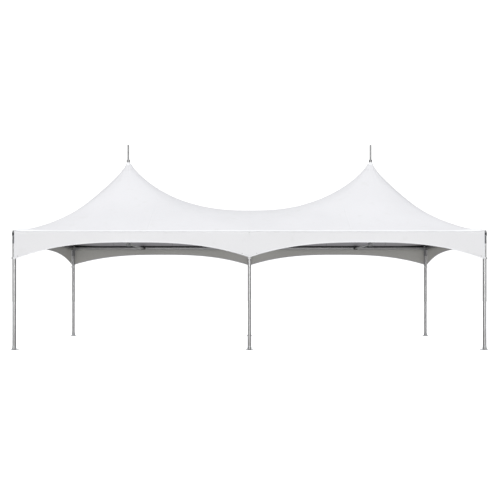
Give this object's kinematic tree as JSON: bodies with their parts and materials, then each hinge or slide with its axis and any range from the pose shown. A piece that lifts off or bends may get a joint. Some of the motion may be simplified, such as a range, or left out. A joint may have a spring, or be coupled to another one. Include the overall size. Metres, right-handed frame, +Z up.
{
  "type": "frame marquee tent with two peaks",
  "caption": "Open-sided rectangular marquee on an aluminium leg frame, with a curved two-peak white fabric roof, spires and scalloped valances.",
  "frame": {"origin": "on the ground at the middle of the plan, level with the undersides of the foot plates", "axes": "+X along the long side to the right as seen from the front, +Y towards the rear long side, +Z up"},
  "size_m": [9.304, 4.732, 4.48],
  "materials": {
    "frame_aluminium": "mill finish, satin",
    "bracket_casting": "black powder coat",
    "foot_steel": "dull galvanised",
    "fabric_pvc": "white coated polyester, satin"
  },
  "bodies": {
    "root": {"leg_front_left": "frame_aluminium", "foot_front_left": "foot_steel", "leg_front_middle": "frame_aluminium", "foot_front_middle": "foot_steel", "leg_front_right": "frame_aluminium", "foot_front_right": "foot_steel", "corner_bracket_front_left": "bracket_casting", "eave_beam_front_left": "frame_aluminium", "cross_beam_front_left": "frame_aluminium", "cross_beam_saddle_front_left": "bracket_casting", "corner_bracket_front_right": "bracket_casting", "eave_beam_front_right": "frame_aluminium", "cross_beam_front_right": "frame_aluminium", "cross_beam_saddle_front_right": "bracket_casting", "middle_bracket_front": "bracket_casting", "valance_front": "fabric_pvc", "leg_rear_left": "frame_aluminium", "foot_rear_left": "foot_steel", "leg_rear_middle": "frame_aluminium", "foot_rear_middle": "foot_steel", "leg_rear_right": "frame_aluminium", "foot_rear_right": "foot_steel", "corner_bracket_rear_left": "bracket_casting", "eave_beam_rear_left": "frame_aluminium", "cross_beam_rear_left": "frame_aluminium", "cross_beam_saddle_rear_left": "bracket_casting", "corner_bracket_rear_right": "bracket_casting", "eave_beam_rear_right": "frame_aluminium", "cross_beam_rear_right": "frame_aluminium", "cross_beam_saddle_rear_right": "bracket_casting", "middle_bracket_rear": "bracket_casting", "valance_rear": "fabric_pvc", "eave_beam_end_left": "frame_aluminium", "mast_left": "frame_aluminium", "mast_foot_left": "bracket_casting", "mast_head_left": "bracket_casting", "spire_left": "frame_aluminium", "valance_end_left": "fabric_pvc", "eave_beam_end_right": "frame_aluminium", "mast_right": "frame_aluminium", "mast_foot_right": "bracket_casting", "mast_head_right": "bracket_casting", "spire_right": "frame_aluminium", "valance_end_right": "fabric_pvc", "roof_canopy": "fabric_pvc"}
  },
  "joints": []
}
